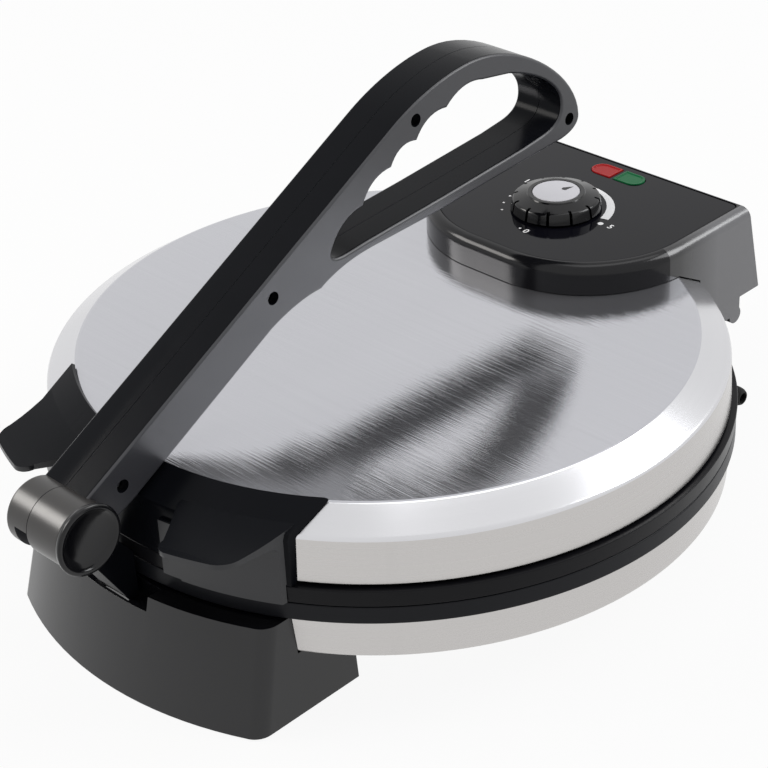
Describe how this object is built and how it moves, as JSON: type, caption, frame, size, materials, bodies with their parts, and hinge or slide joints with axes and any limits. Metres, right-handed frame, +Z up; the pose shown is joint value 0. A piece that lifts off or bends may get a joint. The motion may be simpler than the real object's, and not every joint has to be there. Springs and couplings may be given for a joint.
{
  "type": "electric roti maker",
  "caption": "Round countertop roti maker: a hinged brushed steel lid over a heated base, pressed shut by a looped lever on a front pivot, with a thermostat knob at the rear of the lid.",
  "frame": {"origin": "on the ground under the middle of the whole machine's footprint box", "axes": "+Z up, +Y towards the hinge and the control housing, -Y towards the lever's pivot, +X to the right as seen from the lever's pivot"},
  "size_m": [0.2864, 0.3538, 0.1941],
  "materials": {
    "cast_aluminium": "cast and turned",
    "bare_steel": "plain",
    "heat_ceramic": "dull",
    "brushed_steel": "fine circular brushing with a polished bevel",
    "slate_plastic": "semi gloss",
    "satin_black": "satin",
    "gloss_black": "polished",
    "rubber": "dull",
    "grey_plastic": "satin silver",
    "red_window": "clear gloss",
    "green_window": "clear gloss",
    "lamp_glass": "clear"
  },
  "bodies": {
    "base": {"lower_plate": "cast_aluminium", "lower_element": "bare_steel", "lower_clamp": "bare_steel", "lower_shield": "bare_steel", "lower_nut": "bare_steel", "thermal_fuse": "heat_ceramic", "base_pan": "brushed_steel", "base_rim": "slate_plastic", "terminal_block": "heat_ceramic", "front_foot": "gloss_black", "rear_foot": "satin_black", "cord_gland": "rubber", "rubber_foot_front_left": "rubber", "rubber_foot_front_right": "rubber", "rubber_foot_rear_left": "rubber", "rubber_foot_rear_right": "rubber", "foot_screw_front_left": "bare_steel", "foot_screw_front_right": "bare_steel", "foot_screw_rear_left": "bare_steel", "foot_screw_rear_right": "bare_steel", "lever_bracket": "gloss_black", "bracket_screw_left": "bare_steel", "bracket_screw_right": "bare_steel", "pivot_pin": "bare_steel", "hinge_pin": "bare_steel"},
    "lid": {"upper_plate": "cast_aluminium", "upper_element": "bare_steel", "upper_clamp": "bare_steel", "upper_shield": "bare_steel", "upper_nut": "bare_steel", "lid_rim": "satin_black", "lid_cover": "brushed_steel", "lid_grip": "satin_black", "grip_screw_left": "bare_steel", "grip_screw_right": "bare_steel", "control_housing": "gloss_black", "housing_screw_left": "bare_steel", "housing_screw_right": "bare_steel", "control_panel": "slate_plastic", "green_lens": "green_window", "red_lens": "red_window", "green_lamp": "lamp_glass", "red_lamp": "lamp_glass", "thermostat": "heat_ceramic"},
    "lever": {"lever_left_shell": "satin_black", "lever_right_shell": "satin_black", "lever_core": "bare_steel", "lever_screw_pivot": "bare_steel", "lever_screw_arm": "bare_steel", "lever_screw_crown": "bare_steel", "lever_screw_bar": "bare_steel", "pivot_cap": "gloss_black"},
    "knob": {"knob": "satin_black", "knob_cap": "grey_plastic", "thermostat_shaft": "bare_steel"}
  },
  "joints": [
    {"name": "lever_swing", "type": "hinge", "parent": "base", "child": "lever", "pos_m": [0, -0.16265, 0.0825], "axis": [1, 0, 0], "range_deg": [0, 100]},
    {"name": "lid_hinge", "type": "hinge", "parent": "base", "child": "lid", "pos_m": [0, 0.15985, 0.05235], "axis": [-1, 0, 0], "range_deg": [0, 95]},
    {"name": "knob_turn", "type": "hinge", "parent": "lid", "child": "knob", "pos_m": [0, 0.11585, 0.1013], "axis": [0, 0, 1], "range_deg": [-66, 212]}
  ],
  "couplings": [
    {"joint": "lid_hinge", "follows": "lever_swing", "ratio": 0.15}
  ]
}
